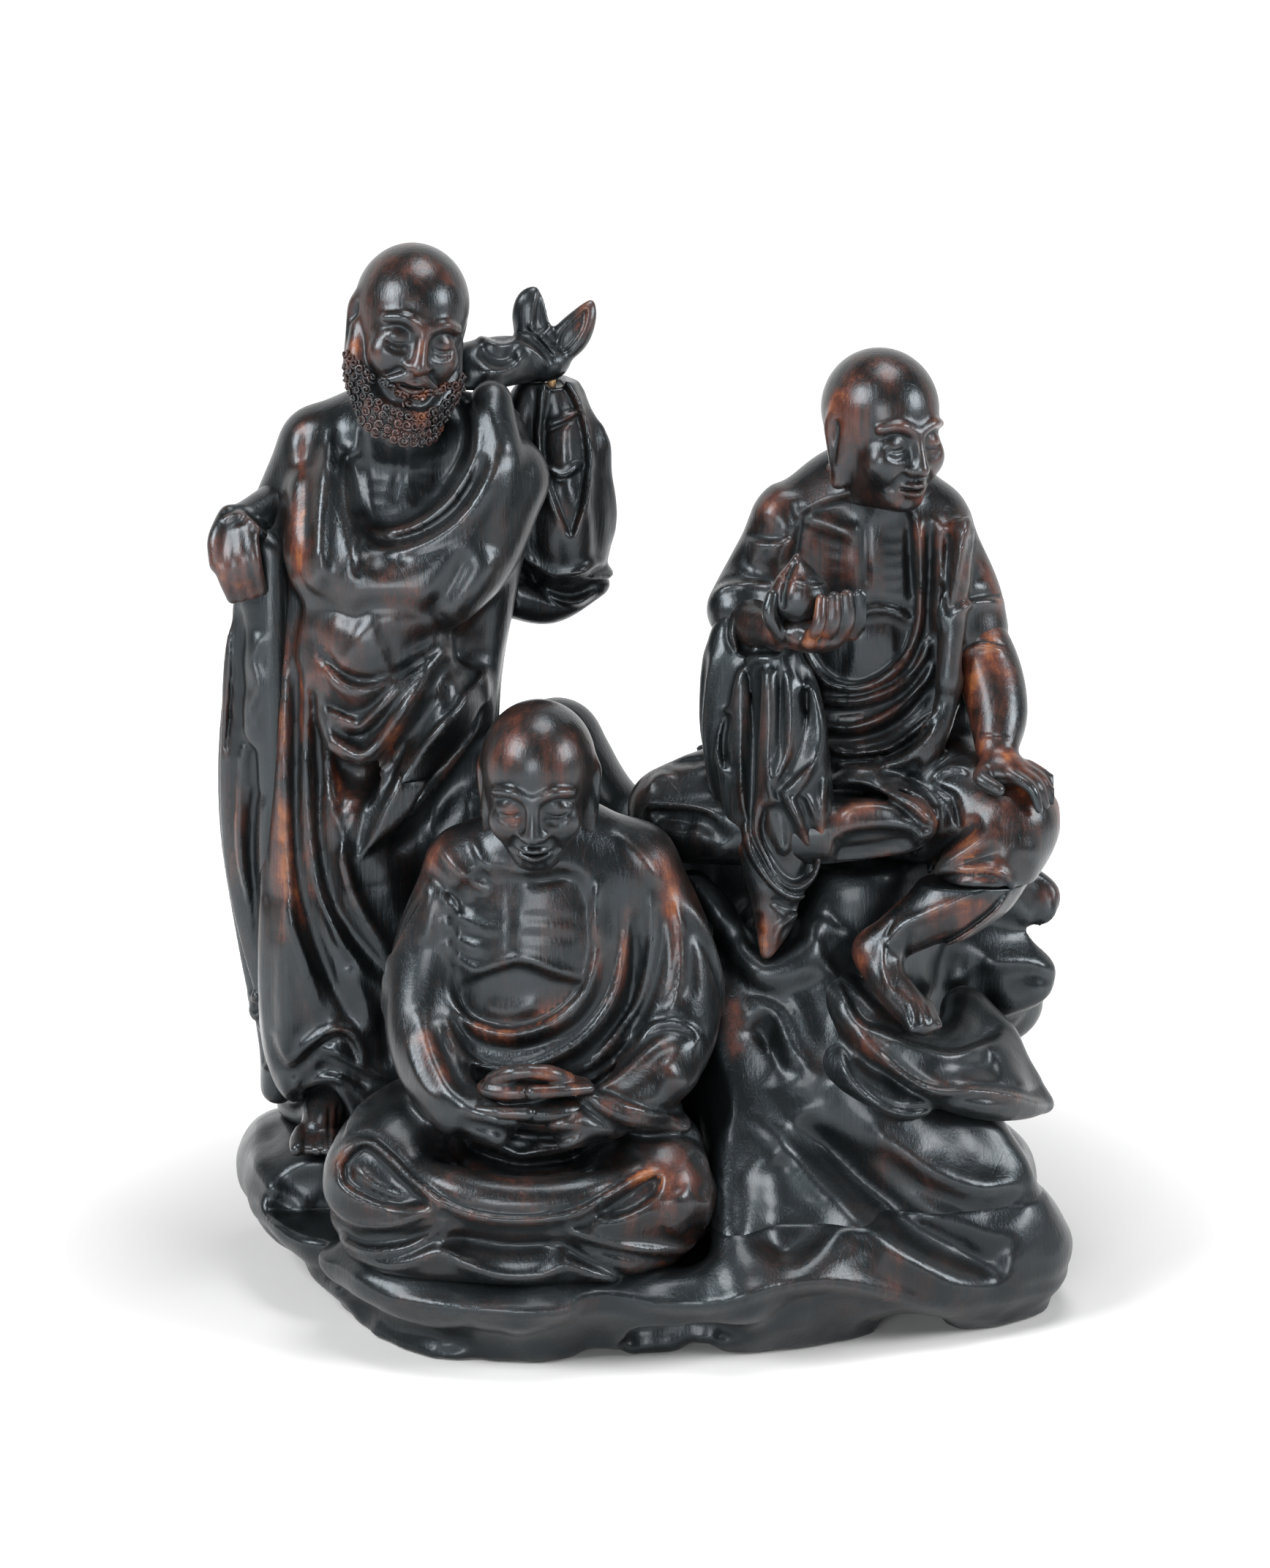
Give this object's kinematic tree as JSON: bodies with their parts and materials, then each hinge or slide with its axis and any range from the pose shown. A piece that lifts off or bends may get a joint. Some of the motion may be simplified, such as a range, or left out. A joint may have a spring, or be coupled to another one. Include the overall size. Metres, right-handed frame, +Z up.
{
  "type": "carved wooden figure group",
  "caption": "Lacquered wood carving of three monks on a rock, one standing with a bundle, one meditating, one seated above holding a peach.",
  "frame": {"origin": "on the flat underside of the rock base, below the middle of the group", "axes": "+Z up, -Y towards the front of the group, +X to the viewer's right"},
  "size_m": [0.3168, 0.2132, 0.391],
  "materials": {
    "robe_wood": "dark lacquer, polished",
    "skin_wood": "dark lacquer rubbed to red-brown",
    "rock_wood": "dark lacquer, satin",
    "peg_wood": "bare wood"
  },
  "bodies": {
    "root": {"bundle_dowel": "peg_wood", "bundle_knot": "robe_wood", "bundle_sack": "robe_wood", "crag_dowel_1": "peg_wood", "crag_dowel_2": "peg_wood", "front_monk_body": "robe_wood", "front_monk_hands": "skin_wood", "front_monk_head": "skin_wood", "front_neck_dowel": "peg_wood", "front_seat_dowel_1": "peg_wood", "front_seat_dowel_2": "peg_wood", "hanging_cloth": "robe_wood", "hanging_cloth_dowel": "peg_wood", "hanging_sleeve": "robe_wood", "knee_arm": "skin_wood", "knee_arm_dowel": "peg_wood", "knot_dowel": "peg_wood", "lap_hands_dowel": "peg_wood", "leaf_ledge": "rock_wood", "leaf_ledge_dowel": "peg_wood", "lower_leg": "skin_wood", "lower_leg_dowel": "peg_wood", "offering_arm": "skin_wood", "offering_arm_dowel": "peg_wood", "peach": "skin_wood", "peach_peg": "peg_wood", "rear_crag": "rock_wood", "rock_base": "rock_wood", "seated_monk_body": "robe_wood", "seated_monk_head": "skin_wood", "seated_neck_dowel": "peg_wood", "seated_seat_dowel_1": "peg_wood", "seated_seat_dowel_2": "peg_wood", "standing_foot_dowel": "peg_wood", "standing_hand_dowel": "peg_wood", "standing_monk_body": "robe_wood", "standing_monk_foot": "skin_wood", "standing_monk_hand": "skin_wood", "standing_monk_head": "skin_wood", "standing_neck_dowel": "peg_wood", "standing_seat_dowel_1": "peg_wood", "standing_seat_dowel_2": "peg_wood"}
  },
  "joints": []
}
